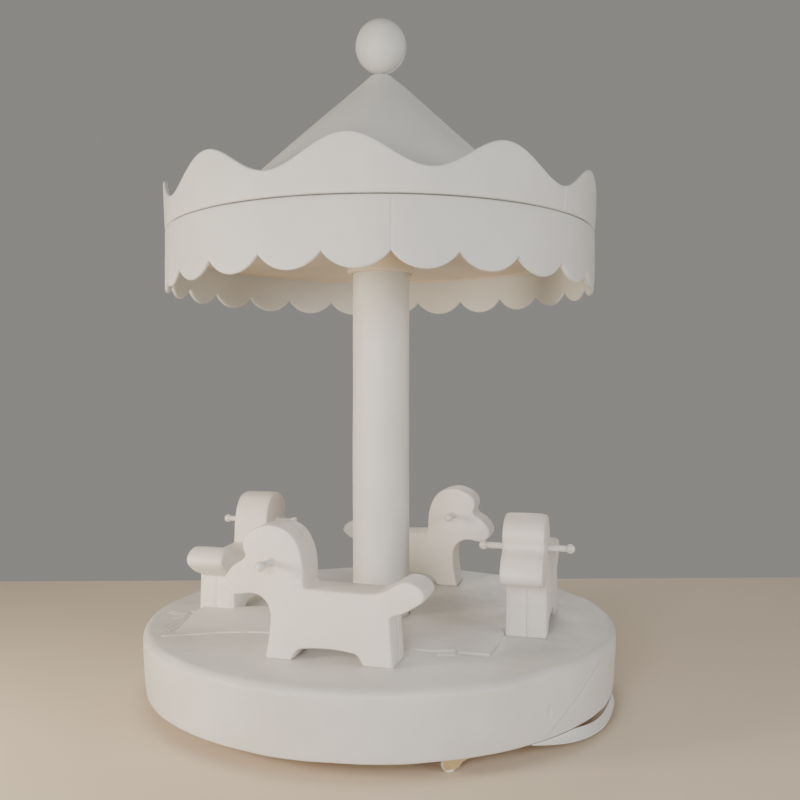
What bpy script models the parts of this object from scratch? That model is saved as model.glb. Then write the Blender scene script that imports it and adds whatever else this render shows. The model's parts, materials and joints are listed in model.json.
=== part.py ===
"""Soft play carousel: a padded round deck on a floor pivot and four swivel castors.

A steel mast stands on the deck and carries a scalloped canopy with a conical roof and a ball.
Four foam ride-on ponies stand on the deck, each with a cross handle through its head.

Metres, +Z up.  The origin is on the floor, on the axis that the carousel turns about.
Angles round the carousel are measured from -Y and grow towards +X.
"""
from math import atan2, cos, pi, radians, sin

import bmesh
import bpy
from mathutils import Matrix, Vector
from mathutils.geometry import interpolate_bezier

# ---------------------------------------------------------------- driving dimensions
GAP = 0.0003               # clearance between pieces that touch
DECK_RADIUS = 0.750        # widest radius of the padded deck
HEM_RADIUS = 0.741         # the side of the deck draws in to this at its hem
HEM_HEIGHT = 0.045         # hem above the floor
DECK_TOP = 0.2275          # height of the padded deck
DECK_EDGE_ROUND = 0.028    # rounding of the deck's upper edge
SKIN = 0.002               # vinyl with its backing

BOARD_LOW = 0.060          # underside of the plywood deck board
BOARD_THICK = 0.018
BOARD_RADIUS = 0.7272

COLUMN_RADIUS = 0.0922     # padded column, outside
MAST_OUTER = 0.036
MAST_INNER = 0.033
MAST_TOP = 1.930
SPINDLE_RADIUS = 0.024
SPINDLE_TOP = 0.360

CEILING_LOW = 1.398        # underside of the canopy's ceiling
CEILING_THICK = 0.012
COLLAR_LOW = 1.334
COLLAR_RADIUS = 0.110

SEAM_HEIGHT = 1.448        # seam between the valance below and the crown band above
BAND_RADIUS = 0.681        # outside of the valance
BAND_THICK = 0.0125
SCALLOPS = 24
SCALLOP_CUSP = 1.3045      # height of the points between scallops
SCALLOP_TIP = 1.2595       # lowest point of a scallop
SCALLOP_PHASE = radians(2.1)
CROWN_WAVES = 10
CROWN_PEAK = 1.603
CROWN_VALLEY = 1.519
CROWN_PHASE = radians(-7.4)
CROWN_FLARE = 0.006        # the crown band leans out by this at its top

ROOF_RADIUS = 0.620
ROOF_LOW = 1.4278
ROOF_TOP_RADIUS = 0.033
ROOF_TOP = 1.9795
ROOF_THICK = 0.016         # vinyl on foam, measured straight down
RAFTERS = 8
BALL_CENTRE = 2.076
BALL_RADIUS = 0.083
BALL_HALF_HEIGHT = 0.086

PONY_COUNT = 4
PONY_PHASE = radians(-16.5)
PONY_RADIUS = 0.494        # carousel axis to a pony's middle plane
PONY_THICK = 0.124
HANDLE_AT = (0.148, 0.264)  # forward of the pony's middle, above the deck
HANDLE_RADIUS = 0.009
KNOB_OFFSET = 0.128        # pony's middle plane to a knob's centre
KNOB_RADIUS = 0.014
STUD_FORWARD = (0.128, -0.155)
STUD_RADIUS = 0.004

CASTOR_COUNT = 4
CASTOR_PHASE = radians(16.5)
CASTOR_RADIUS = 0.700      # carousel axis to a castor's swivel axis
CASTOR_TRAIL = 0.030
CASTOR_SCREW_SPOTS = [(x, y) for x in (-0.016, 0.016) for y in (-0.016, 0.016)]
CASTOR_SCREW_RADIUS = 0.002
WHEEL_RADIUS = 0.020
WHEEL_WIDTH = 0.018

BALL_TRACK = 0.120         # turntable bearing: pitch radius, ball radius and height of the balls
BEARING_BALLS = 8
BEARING_BALL_RADIUS = 0.007
BEARING_BALL_Z = 0.0363
FLANGE_BOLT_RADIUS = 0.1337
HUB_BOLT_RADIUS = 0.085
FLANGE_BOLTS = 6
FLANGE_PHASE = radians(11)

# Side view of a pony: forward of its middle and above the deck, anticlockwise from the front foot.
# True marks a corner; the outline runs smoothly through the others.
PONY_OUTLINE = [
    (0.165, 0.000, True), (0.152, 0.080, False), (0.156, 0.143, False), (0.193, 0.173, False),
    (0.262, 0.170, False), (0.2875, 0.199, False), (0.267, 0.245, False), (0.222, 0.275, True),
    (0.238, 0.300, False), (0.230, 0.331, False), (0.196, 0.353, False), (0.150, 0.3635, False),
    (0.094, 0.345, False), (0.061, 0.285, False), (0.0535, 0.196, True), (-0.146, 0.1935, False),
    (-0.176, 0.204, False), (-0.232, 0.230, False), (-0.2815, 0.197, False), (-0.243, 0.157, False),
    (-0.1865, 0.133, True), (-0.196, 0.000, True), (-0.1145, 0.000, True), (-0.090, 0.0305, False),
    (0.066, 0.0315, False), (0.091, 0.000, True),
]

# ---------------------------------------------------------------- a clean file and its collections
for old in list(bpy.data.objects):
    bpy.data.objects.remove(old, do_unlink=True)

PARTS = bpy.data.collections.new("soft_play_carousel")
CUTTERS = bpy.data.collections.new("cutters")
bpy.context.scene.collection.children.link(PARTS)
bpy.context.scene.collection.children.link(CUTTERS)


# ---------------------------------------------------------------- materials
def material(name, colour, roughness, metallic=0.0):
    made = bpy.data.materials.new(name)
    made.use_nodes = True
    shader = made.node_tree.nodes["Principled BSDF"]
    shader.inputs["Base Color"].default_value = (*colour, 1.0)
    shader.inputs["Roughness"].default_value = roughness
    shader.inputs["Metallic"].default_value = metallic
    return made


VINYL = material("white_vinyl", (0.80, 0.78, 0.75), 0.42)
FOAM = material("foam", (0.82, 0.80, 0.66), 0.95)
PLYWOOD = material("plywood", (0.66, 0.50, 0.32), 0.70)
STEEL = material("painted_steel", (0.22, 0.23, 0.24), 0.45)
BRIGHT_STEEL = material("bearing_steel", (0.62, 0.62, 0.62), 0.28, 1.0)
ZINC = material("yellow_zinc", (0.72, 0.55, 0.26), 0.35, 1.0)
NYLON = material("cream_nylon", (0.86, 0.83, 0.74), 0.40)
PLASTIC = material("white_plastic", (0.87, 0.86, 0.84), 0.30)
RUBBER = material("black_rubber", (0.03, 0.03, 0.03), 0.85)


# ---------------------------------------------------------------- building helpers
def adopt(name, mesh, look, collection=PARTS):
    """Put a mesh in the file as the object called name."""
    thing = bpy.data.objects.new(name, mesh)
    collection.objects.link(thing)
    mesh.materials.clear()
    mesh.materials.append(look)
    if collection is CUTTERS:
        thing.hide_render = True
        thing.display_type = "WIRE"
    return thing


def baked(thing):
    """Return the evaluated mesh of an object, in world space, and remove the object."""
    bpy.context.view_layer.update()
    graph = bpy.context.evaluated_depsgraph_get()
    mesh = bpy.data.meshes.new_from_object(thing.evaluated_get(graph))
    mesh.transform(thing.matrix_world)
    bpy.data.objects.remove(thing, do_unlink=True)
    return mesh


def shade(mesh, angle=35):
    mesh.shade_smooth()
    mesh.set_sharp_from_angle(angle=radians(angle))
    return mesh


def joined(meshes):
    """Several meshes as one, each staying a body of its own."""
    bm = bmesh.new()
    for mesh in meshes:
        bm.from_mesh(mesh)
    out = bpy.data.meshes.new("joined")
    bm.to_mesh(out)
    bm.free()
    return out


def turned(profile, steps=48, closed=True):
    """A turned solid from (radius, height) points that run down the outer side."""
    mesh = bpy.data.meshes.new("profile")
    edges = [(i, i + 1) for i in range(len(profile) - 1)]
    if closed:
        edges.append((len(profile) - 1, 0))
    mesh.from_pydata([(r, 0, z) for r, z in profile], edges, [])
    thing = adopt("turning", mesh, VINYL, CUTTERS)
    screw = thing.modifiers.new("turn", "SCREW")
    screw.steps = screw.render_steps = steps
    screw.use_merge_vertices = True
    screw.merge_threshold = 0.00001
    return shade(baked(thing))


def ring(r_in, r_out, low, high, steps=48):
    return turned([(r_out, high), (r_out, low), (r_in, low), (r_in, high)], steps)


def cylinder(radius, low, high, steps=12, at=(0, 0)):
    bm = bmesh.new()
    bmesh.ops.create_cone(bm, cap_ends=True, segments=steps, radius1=radius, radius2=radius,
                          depth=high - low,
                          matrix=Matrix.Translation((at[0], at[1], (low + high) / 2)))
    mesh = bpy.data.meshes.new("cylinder")
    bm.to_mesh(mesh)
    bm.free()
    return shade(mesh)


def block(low, high):
    size = [b - a for a, b in zip(low, high)]
    centre = [(a + b) / 2 for a, b in zip(low, high)]
    bm = bmesh.new()
    bmesh.ops.create_cube(bm, size=1.0,
                          matrix=Matrix.Translation(centre) @ Matrix.Diagonal((*size, 1.0)))
    mesh = bpy.data.meshes.new("block")
    bm.to_mesh(mesh)
    bm.free()
    return mesh


def moved(mesh, matrix):
    copy = mesh.copy()
    copy.transform(matrix)
    return copy


def combine(mesh, others, operation="DIFFERENCE"):
    """Cut mesh with the others, or unite it with them, by EXACT booleans."""
    body = adopt("body", mesh.copy(), VINYL, CUTTERS)
    tools = []
    for number, other in enumerate(others):
        tool = adopt(f"tool_{number}", other.copy(), VINYL, CUTTERS)
        step = body.modifiers.new(tool.name, "BOOLEAN")
        step.operation = operation
        step.object = tool
        tools.append(tool)
    result = baked(body)
    for tool in tools:
        bpy.data.objects.remove(tool, do_unlink=True)
    return shade(result)


def extruded(points, half_thickness):
    """A flat outline in XZ, given thickness along Y."""
    curve = bpy.data.curves.new("outline", "CURVE")
    curve.dimensions = "2D"
    curve.fill_mode = "BOTH"
    curve.extrude = half_thickness
    spline = curve.splines.new("POLY")
    spline.points.add(len(points) - 1)
    for point, (x, z) in zip(spline.points, points):
        point.co = (x, z, 0.0, 1.0)
    spline.use_cyclic_u = True
    thing = bpy.data.objects.new("outline", curve)
    CUTTERS.objects.link(thing)
    mesh = baked(thing)
    bm = bmesh.new()
    bm.from_mesh(mesh)
    bmesh.ops.remove_doubles(bm, verts=bm.verts, dist=0.00001)
    bmesh.ops.recalc_face_normals(bm, faces=bm.faces)
    bm.to_mesh(mesh)
    bm.free()
    mesh.transform(Matrix.Rotation(radians(90), 4, "X"))
    return shade(mesh)


def smooth_outline(points, steps):
    """Points on a closed outline that is smooth except at the marked corners."""
    count = len(points)
    spots = [Vector((x, z, 0.0)) for x, z, _ in points]
    tangents = []
    for i in range(count):
        along = spots[(i + 1) % count] - spots[i - 1]
        tangents.append(along.normalized())
    outline = []
    for i in range(count):
        j = (i + 1) % count
        reach = (spots[j] - spots[i]).length / 3
        leave = (spots[j] - spots[i]) / 3 if points[i][2] else tangents[i] * reach
        arrive = (spots[i] - spots[j]) / 3 if points[j][2] else -tangents[j] * reach
        straight = points[i][2] and points[j][2]
        pieces = 1 if straight else steps
        run = interpolate_bezier(spots[i], spots[i] + leave, spots[j] + arrive, spots[j], pieces + 1)
        outline += [(p.x, p.y) for p in run[:-1]]
    return outline


def inset(outline, distance):
    """Move every side of a closed anticlockwise outline inwards by distance."""
    count = len(outline)
    result = []
    for i in range(count):
        here = Vector(outline[i])
        before = (here - Vector(outline[i - 1])).normalized()
        after = (Vector(outline[(i + 1) % count]) - here).normalized()
        normal = Vector((-before.y - after.y, before.x + after.x))
        normal /= max(0.4, normal.dot(Vector((-before.y, before.x))))
        result.append(tuple(here + normal * distance))
    return result


def around(angle, radius=0.0, height=0.0):
    """The frame at an angle round the carousel: +Y outwards, +X towards falling angle."""
    turn = Matrix.Rotation(angle + pi, 4, "Z")
    return turn @ Matrix.Translation((0.0, radius, height))


def spread(mesh, count, phase=0.0):
    """Copies of a mesh that is made at angle 0, evenly round the axis, as one node."""
    return joined([moved(mesh, Matrix.Rotation(phase + 2 * pi * i / count, 4, "Z"))
                   for i in range(count)])


def bolt(radius, low, high, head_radius, head_low, head_high, at=(0, 0)):
    """An upright bolt: a round shank and a hexagon head, in one solid."""
    shank = cylinder(radius, low, high, 6, at)
    head = cylinder(head_radius, head_low, head_high, 6, at)
    return combine(head, [shank], "UNION")


def bolt_circle(pitch_radius, low, seat):
    """The bolts of a flange on the washer ring that they share, in one solid."""
    washer = ring(pitch_radius - 0.0075, pitch_radius + 0.0075, seat + GAP, seat + 0.0018, 24)
    one = bolt(STUD_RADIUS, low, seat + 0.003, 0.0062, seat + 0.0012, seat + 0.0065, (0, -pitch_radius))
    return combine(washer, [spread(one, FLANGE_BOLTS, FLANGE_PHASE)], "UNION")


def arc_points(centre_r, centre_z, radius, start, end, pieces):
    return [(centre_r + radius * cos(start + (end - start) * i / pieces),
             centre_z + radius * sin(start + (end - start) * i / pieces)) for i in range(pieces + 1)]


# ---------------------------------------------------------------- floor plate and pivot
BOARD_TOP = BOARD_LOW + BOARD_THICK
PLATE_LOW = 0.004 + GAP
PLATE_TOP = 0.0123
RACE_LOW = PLATE_TOP + GAP
BALL_SEAT = BEARING_BALL_RADIUS + GAP
BOLT_HOLE = STUD_RADIUS + GAP


def build_stand():
    adopt("grip_pad", cylinder(0.170, 0.0, 0.004, 32), RUBBER)
    adopt("floor_plate", cylinder(0.165, PLATE_LOW, PLATE_TOP, 32), STEEL)
    adopt("spindle_post", turned([
        (0.0, SPINDLE_TOP), (SPINDLE_RADIUS - 0.004, SPINDLE_TOP),
        (SPINDLE_RADIUS, SPINDLE_TOP - 0.004), (SPINDLE_RADIUS, 0.0206),
        (0.060, 0.0206), (0.060, RACE_LOW), (0.0, RACE_LOW)], 24, closed=False), BRIGHT_STEEL)
    half = BALL_SEAT + GAP
    groove = BEARING_BALL_Z - BALL_SEAT
    adopt("bearing_lower_ring", turned([
        (0.140, 0.036), (0.140, RACE_LOW), (0.100, RACE_LOW), (0.100, 0.036),
        (BALL_TRACK - half, 0.036), (BALL_TRACK - half, groove),
        (BALL_TRACK + half, groove), (BALL_TRACK + half, 0.036)], 24), BRIGHT_STEEL)


def build_ball_cage():
    bm = bmesh.new()
    bmesh.ops.create_icosphere(bm, subdivisions=1, radius=BEARING_BALL_RADIUS,
                               matrix=Matrix.Translation((0, -BALL_TRACK, BEARING_BALL_Z)))
    ball = bpy.data.meshes.new("ball")
    bm.to_mesh(ball)
    bm.free()
    retainer = ring(0.104, 0.136, 0.0368, 0.0388, 24)
    adopt("ball_cage", combine(retainer, [spread(ball, BEARING_BALLS)], "UNION"), BRIGHT_STEEL)


# ---------------------------------------------------------------- deck
FLANGE_TOP = BOARD_TOP + GAP + 0.006
HUB_TOP = CEILING_LOW + CEILING_THICK + GAP + 0.006


def pony_frame(number, height=DECK_TOP + GAP):
    """A pony's own frame: +X forwards, +Y outwards, its feet on the deck at the origin."""
    angle = PONY_PHASE + number * 2 * pi / PONY_COUNT
    return around(angle, PONY_RADIUS, height)


def castor_frame(number):
    """A castor's own frame: the swivel axis on Z, its wheel trailing along +X, +Y outwards."""
    angle = CASTOR_PHASE + number * 2 * pi / CASTOR_COUNT
    return around(angle, CASTOR_RADIUS)


def deck_side(offset, low):
    """The deck's outer profile, moved inwards by offset, from its top to the height low."""
    radius = DECK_RADIUS - offset
    top = DECK_TOP - offset
    edge = DECK_EDGE_ROUND - offset
    points = arc_points(radius - edge, top - edge, edge, pi / 2, 0.0, 3)
    lean = (DECK_RADIUS - HEM_RADIUS) / (DECK_TOP - DECK_EDGE_ROUND - HEM_HEIGHT)
    drop = DECK_TOP - DECK_EDGE_ROUND - low
    points.append((radius - lean * drop, low))
    return points


def stud_holes(radius, low, high):
    pair = joined([cylinder(radius, low, high, 6, (forward, 0)) for forward in STUD_FORWARD])
    return joined([moved(pair, pony_frame(number, 0.0)) for number in range(PONY_COUNT)])


def flange_bolt_holes(low, high):
    return spread(cylinder(BOLT_HOLE, low, high, 6, (0, -FLANGE_BOLT_RADIUS)), FLANGE_BOLTS, FLANGE_PHASE)


def build_deck():
    upper_seat = BEARING_BALL_Z + BALL_SEAT
    half = BALL_SEAT + GAP
    upper_ring = turned([
        (0.140, BOARD_LOW - GAP), (0.140, 0.0395), (BALL_TRACK + half, 0.0395),
        (BALL_TRACK + half, upper_seat), (BALL_TRACK - half, upper_seat),
        (BALL_TRACK - half, 0.0395), (0.100, 0.0395), (0.100, BOARD_LOW - GAP)], 24)
    adopt("bearing_upper_ring", combine(upper_ring, [flange_bolt_holes(0.0470, 0.0700)]), BRIGHT_STEEL)

    holes = joined([cylinder(CASTOR_SCREW_RADIUS + GAP, 0.0500, 0.0730, 6, spot)
                    for spot in CASTOR_SCREW_SPOTS])
    screw_holes = joined([moved(holes, castor_frame(i)) for i in range(CASTOR_COUNT)])
    board = ring(0.0445, BOARD_RADIUS, BOARD_LOW, BOARD_TOP)
    adopt("deck_board", combine(board, [flange_bolt_holes(0.05, 0.09),
                                        stud_holes(BOLT_HOLE, 0.05, 0.09), screw_holes]), PLYWOOD)
    adopt("rim_hoop", ring(BOARD_RADIUS + GAP, HEM_RADIUS - SKIN - GAP, HEM_HEIGHT + 0.002,
                           BOARD_TOP), PLYWOOD)

    foam_low = BOARD_TOP + GAP
    hole = COLUMN_RADIUS + 0.0023
    foam = turned([(hole, DECK_TOP - SKIN - GAP)] + deck_side(SKIN + GAP, foam_low)
                  + [(0.150, foam_low), (0.150, 0.092), (hole, 0.092)])
    adopt("deck_foam", combine(foam, [stud_holes(BOLT_HOLE, 0.07, 0.24)]), FOAM)

    outer = deck_side(0.0, HEM_HEIGHT)
    inner = deck_side(SKIN, HEM_HEIGHT)
    skin = turned([(hole, DECK_TOP)] + outer + inner[::-1] + [(hole, DECK_TOP - SKIN)])
    adopt("deck_cover", combine(skin, [stud_holes(BOLT_HOLE, 0.2, 0.24)]), VINYL)


def build_hem_flap():
    """The loose tongue of the cover's lower hem, which droops and stands out from the deck."""
    first, last = radians(31), radians(71)
    columns, rows = 14, 4
    bm = bmesh.new()
    bmesh.ops.create_grid(bm, x_segments=columns, y_segments=rows, size=0.5)
    for vert in bm.verts:
        u = vert.co.x + 0.5
        v = vert.co.y + 0.5
        droop = max(0.0, sin(pi * u))
        upper = 0.0425 - 0.017 * max(0.0, sin(pi * min(1.0, max(0.0, (u - 0.25) / 0.75))))
        lower = 0.0415 - 0.0240 * droop
        height = upper + (lower - upper) * v
        radius = 0.7385 + 0.027 * droop * v ** 1.5
        angle = first + (last - first) * u
        vert.co = (radius * sin(angle), -radius * cos(angle), height)
    mesh = bpy.data.meshes.new("flap")
    bm.to_mesh(mesh)
    bm.free()
    thing = adopt("flap", mesh, VINYL, CUTTERS)
    thick = thing.modifiers.new("thickness", "SOLIDIFY")
    thick.thickness = 0.0018
    thick.offset = 0.0
    adopt("hem_flap", shade(baked(thing), 60), VINYL)


# ---------------------------------------------------------------- castors
def build_castors():
    plate = block((-0.021, -0.021, BOARD_LOW - GAP - 0.002), (0.021, 0.021, BOARD_LOW - GAP))
    pin = turned([(0.0, 0.0590), (0.015, 0.0590), (0.015, 0.0500), (0.0037, 0.0500),
                  (0.0037, 0.0433), (0.0070, 0.0433), (0.0070, 0.0415), (0.0, 0.0415)], 10, closed=False)
    screws = joined([bolt(CASTOR_SCREW_RADIUS, 0.0560, 0.0715, 0.0040, 0.0549, 0.0580, spot)
                     for spot in CASTOR_SCREW_SPOTS])
    mounting = combine(plate, [pin, screws], "UNION")

    leg_outline = [(-0.021, 0.0462), (-0.0225, 0.0330), (-0.002, 0.0250), (0.0085, 0.0120), (0.014, 0.0095),
                   (0.0455, 0.0095), (0.0495, 0.0200), (0.0455, 0.0350), (0.0320, 0.0430), (0.0205, 0.0462)]
    crown = cylinder(0.0205, 0.0440, 0.0497, 16)
    inside = WHEEL_WIDTH / 2 + 0.0010
    legs = [moved(extruded(leg_outline[::-1], 0.001), Matrix.Translation((0, side * (inside + 0.001), 0)))
            for side in (-1, 1)]
    fork = combine(crown, legs, "UNION")
    axle_place = Matrix.Translation((CASTOR_TRAIL, 0, WHEEL_RADIUS)) @ Matrix.Rotation(pi / 2, 4, "X")
    fork = combine(fork, [cylinder(0.0040, 0.03, 0.06, 8)])

    end = inside + 0.0017
    axle = turned([(0.0, end + 0.002), (0.0052, end + 0.002), (0.0052, end), (0.0030, end), (0.0030, -end),
                   (0.0052, -end), (0.0052, -end - 0.002), (0.0, -end - 0.002)], 8, closed=False)
    fork = combine(fork, [moved(axle, axle_place)], "UNION")
    half = WHEEL_WIDTH / 2
    rim = WHEEL_RADIUS
    wheel = turned([(rim - 0.003, half), (rim, half - 0.003), (rim, 0.003 - half), (rim - 0.003, -half),
                    (0.0033, -half), (0.0033, half)], 20)
    for number in range(CASTOR_COUNT):
        place = castor_frame(number)
        adopt(f"castor_plate_{number + 1}", moved(mounting, place), ZINC)
        adopt(f"castor_fork_{number + 1}", moved(fork, place), ZINC)
        adopt(f"castor_wheel_{number + 1}", moved(wheel, place @ axle_place), NYLON)


# ---------------------------------------------------------------- mast and padded column
def build_mast():
    low = BOARD_TOP + GAP
    socket = MAST_OUTER + GAP
    adopt("mast_tube", ring(MAST_INNER, MAST_OUTER, low, MAST_TOP, 24), STEEL)
    flange = turned([(socket + 0.005, 0.160), (socket + 0.005, FLANGE_TOP), (0.146, FLANGE_TOP),
                     (0.146, low), (socket, low), (socket, 0.160)], 24)
    adopt("mast_flange", combine(flange, [flange_bolt_holes(0.07, 0.09)]), STEEL)
    adopt("mast_bushing", ring(SPINDLE_RADIUS + GAP, MAST_INNER - GAP, 0.300, 0.340, 24), NYLON)
    adopt("column_foam", ring(socket + 0.005 + GAP, COLUMN_RADIUS - SKIN - GAP, 0.093,
                              CEILING_LOW - GAP, 24), FOAM)
    adopt("column_cover", ring(COLUMN_RADIUS - SKIN, COLUMN_RADIUS, 0.100, CEILING_LOW - GAP, 24), VINYL)
    inner = COLUMN_RADIUS + GAP
    adopt("ceiling_collar", turned([
        (COLLAR_RADIUS, CEILING_LOW - GAP), (COLLAR_RADIUS, COLLAR_LOW + 0.006),
        (COLLAR_RADIUS - 0.006, COLLAR_LOW), (inner, COLLAR_LOW), (inner, CEILING_LOW - GAP)], 24), VINYL)

    adopt("mast_bolts", bolt_circle(FLANGE_BOLT_RADIUS, 0.0480, FLANGE_TOP), ZINC)
    adopt("hub_bolts", bolt_circle(HUB_BOLT_RADIUS, CEILING_LOW + 0.002, HUB_TOP), ZINC)


# ---------------------------------------------------------------- canopy
def bent_band(columns, rows, thickness, shape):
    """A closed band round the axis: shape(angle, share of height) gives radius and height."""
    bm = bmesh.new()
    bmesh.ops.create_grid(bm, x_segments=columns, y_segments=rows, size=0.5)
    for vert in bm.verts:
        angle = 2 * pi * (vert.co.x + 0.5)
        radius, height = shape(angle, vert.co.y + 0.5)
        vert.co = (radius * sin(angle), -radius * cos(angle), height)
    bmesh.ops.remove_doubles(bm, verts=bm.verts, dist=0.00001)
    bmesh.ops.recalc_face_normals(bm, faces=bm.faces)
    mesh = bpy.data.meshes.new("band")
    bm.to_mesh(mesh)
    bm.free()
    thing = adopt("band", mesh, VINYL, CUTTERS)
    thick = thing.modifiers.new("thickness", "SOLIDIFY")
    thick.thickness = thickness
    thick.offset = 0.0
    return shade(baked(thing), 50)


def scallop_height(angle):
    """The valance's lower edge: arcs between cusps."""
    pitch = 2 * pi / SCALLOPS
    share = ((angle - SCALLOP_PHASE) / pitch) % 1.0
    chord = BAND_RADIUS * pitch
    depth = SCALLOP_CUSP - SCALLOP_TIP
    arc_radius = (chord * chord / 4 + depth * depth) / (2 * depth)
    across = (share - 0.5) * chord
    return SCALLOP_TIP + arc_radius - (arc_radius ** 2 - across ** 2) ** 0.5


def crown_height(angle):
    """The crown band's upper edge: a wave."""
    middle = (CROWN_PEAK + CROWN_VALLEY) / 2
    swing = (CROWN_PEAK - CROWN_VALLEY) / 2
    return middle + swing * cos(CROWN_WAVES * (angle - CROWN_PHASE))


def valance_shape(angle, share):
    low = scallop_height(angle)
    return BAND_RADIUS - BAND_THICK / 2, low + (SEAM_HEIGHT - GAP - low) * share


def crown_shape(angle, share):
    low = SEAM_HEIGHT + GAP
    return BAND_RADIUS - BAND_THICK / 2 + CROWN_FLARE * share, low + (crown_height(angle) - low) * share


ROOF_SLOPE = (ROOF_TOP - ROOF_LOW) / (ROOF_RADIUS - ROOF_TOP_RADIUS)


def roof_height(radius, down=0.0):
    """Height of the roof's slope at a radius, less the depth down below it."""
    return ROOF_TOP - (radius - ROOF_TOP_RADIUS) * ROOF_SLOPE - down


def build_canopy():
    ceiling_top = CEILING_LOW + CEILING_THICK
    inside = BAND_RADIUS - BAND_THICK - GAP
    bolt_holes = spread(cylinder(BOLT_HOLE, 1.3990, 1.43, 6, (0, -HUB_BOLT_RADIUS)), FLANGE_BOLTS, FLANGE_PHASE)
    panel = ring(MAST_OUTER + GAP, inside, CEILING_LOW, ceiling_top)
    adopt("ceiling_panel", combine(panel, [bolt_holes]), PLYWOOD)
    socket = MAST_OUTER + GAP
    hub_low = ceiling_top + GAP
    hub = turned([(socket + 0.005, 1.490), (socket + 0.005, HUB_TOP), (0.120, HUB_TOP),
                  (0.120, hub_low), (socket, hub_low), (socket, 1.490)], 24)
    adopt("canopy_hub", combine(hub, [bolt_holes]), STEEL)

    adopt("valance_band", bent_band(SCALLOPS * 4, 1, BAND_THICK, valance_shape), VINYL)
    adopt("crown_band", bent_band(CROWN_WAVES * 6, 1, BAND_THICK, crown_shape), VINYL)
    adopt("roof_cover", turned([
        (ROOF_TOP_RADIUS, ROOF_TOP), (ROOF_RADIUS, ROOF_LOW), (ROOF_RADIUS, ROOF_LOW - ROOF_THICK),
        (ROOF_TOP_RADIUS, ROOF_TOP - ROOF_THICK)]), VINYL)

    under = ROOF_THICK + 3 * GAP
    rafter_out, rafter_foot, rafter_in, rafter_deep = 0.585, 0.540, 0.062, 0.040
    rafter = extruded([(rafter_in, roof_height(rafter_in, under + rafter_deep)),
                       (rafter_foot, roof_height(rafter_foot, under + rafter_deep)),
                       (rafter_foot, hub_low), (rafter_out, hub_low),
                       (rafter_out, roof_height(rafter_out, under)),
                       (rafter_in, roof_height(rafter_in, under))], 0.010)
    head = ring(MAST_OUTER + GAP, 0.072, 1.890, 1.908, 24)
    rafters = spread(rafter, RAFTERS, radians(22.5))
    adopt("roof_frame", combine(head, [rafters], "UNION"), PLYWOOD)


def build_finial():
    adopt("mast_cap", turned([(0.0, 1.944), (0.040, 1.944), (0.042, 1.942), (0.042, MAST_TOP + GAP),
                              (MAST_INNER - GAP, MAST_TOP + GAP), (MAST_INNER - GAP, 1.905), (0.0, 1.905)],
                             20, closed=False), PLASTIC)
    adopt("finial_rod", cylinder(0.006, 1.944 + GAP, 2.080, 16), BRIGHT_STEEL)
    bore = 0.006 + GAP
    start = -pi / 2 + atan2(bore, BALL_RADIUS)
    pieces = 10
    shell = []
    for i in range(pieces + 1):
        angle = pi / 2 - (pi / 2 - start) * i / pieces
        shell.append((BALL_RADIUS * cos(angle), BALL_CENTRE + BALL_HALF_HEIGHT * sin(angle)))
    shell[0] = (0.0, BALL_CENTRE + BALL_HALF_HEIGHT)
    adopt("finial_ball", turned(shell + [(bore, 2.082), (0.0, 2.082)], 24, closed=False), VINYL)


# ---------------------------------------------------------------- ponies
def build_ponies():
    outline = smooth_outline(PONY_OUTLINE, 2)
    below = 0.030

    def body(shrink):
        """The pony's solid, drawn in by shrink, running on below the deck's surface."""
        shape = [(x, z - below if z < 0.0005 else z) for x, z in outline]
        return extruded(inset(shape, shrink), PONY_THICK / 2 - shrink)

    floor = block((-0.4, -0.2, -0.2), (0.4, 0.2, 0.0))
    handle_turn = Matrix.Translation((HANDLE_AT[0], 0, HANDLE_AT[1])) @ Matrix.Rotation(pi / 2, 4, "X")
    handle_hole = moved(cylinder(HANDLE_RADIUS + GAP, -0.08, 0.08, 10), handle_turn)
    whole = combine(body(0.0), [floor])
    cover = combine(whole, [body(SKIN), handle_hole])

    layer = SKIN + GAP
    spine_low, spine_high = (-0.170, 0.046), (0.142, 0.160)
    spine_half = 0.006
    pocket = block((spine_low[0] - GAP, -spine_half - GAP, spine_low[1] - GAP),
                   (spine_high[0] + GAP, spine_half + GAP, spine_high[1] + GAP))
    studs = joined([cylinder(BOLT_HOLE, -0.01, 0.060, 6, (x, 0)) for x in STUD_FORWARD])
    core = combine(body(layer), [floor])
    core = combine(core, [pocket, handle_hole, studs])
    deck_to_board = BOARD_LOW - DECK_TOP - 2 * GAP
    bolts = [bolt(STUD_RADIUS, deck_to_board - 0.001, 0.060, 0.0065, deck_to_board - 0.0055, deck_to_board,
                  (x, 0)) for x in STUD_FORWARD]
    spine = combine(block((spine_low[0], -spine_half, spine_low[1]), (spine_high[0], spine_half, spine_high[1])),
                    [joined(bolts)], "UNION")

    bm = bmesh.new()
    bmesh.ops.create_uvsphere(bm, u_segments=12, v_segments=6, radius=KNOB_RADIUS,
                              matrix=Matrix.Translation((0, 0, KNOB_OFFSET)))
    ball = bpy.data.meshes.new("knob")
    bm.to_mesh(ball)
    bm.free()
    socket = cylinder(HANDLE_RADIUS + GAP, 0.05, KNOB_OFFSET - 0.007 + GAP, 10)
    knob = moved(combine(ball, [socket]), handle_turn @ Matrix.Rotation(pi, 4, "X"))
    rod = cylinder(HANDLE_RADIUS, 0.007 - KNOB_OFFSET, KNOB_OFFSET - 0.005, 10)
    handle = moved(combine(rod, [ball], "UNION"), handle_turn)

    for number in range(PONY_COUNT):
        place = pony_frame(number)
        label = f"pony_{number + 1}"
        adopt(f"{label}_cover", moved(cover, place), VINYL)
        adopt(f"{label}_core", moved(core, place), FOAM)
        adopt(f"{label}_spine", moved(spine, place), PLYWOOD)
        adopt(f"{label}_handle", moved(handle, place), PLASTIC)
        adopt(f"{label}_knob", moved(knob, place), PLASTIC)


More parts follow.
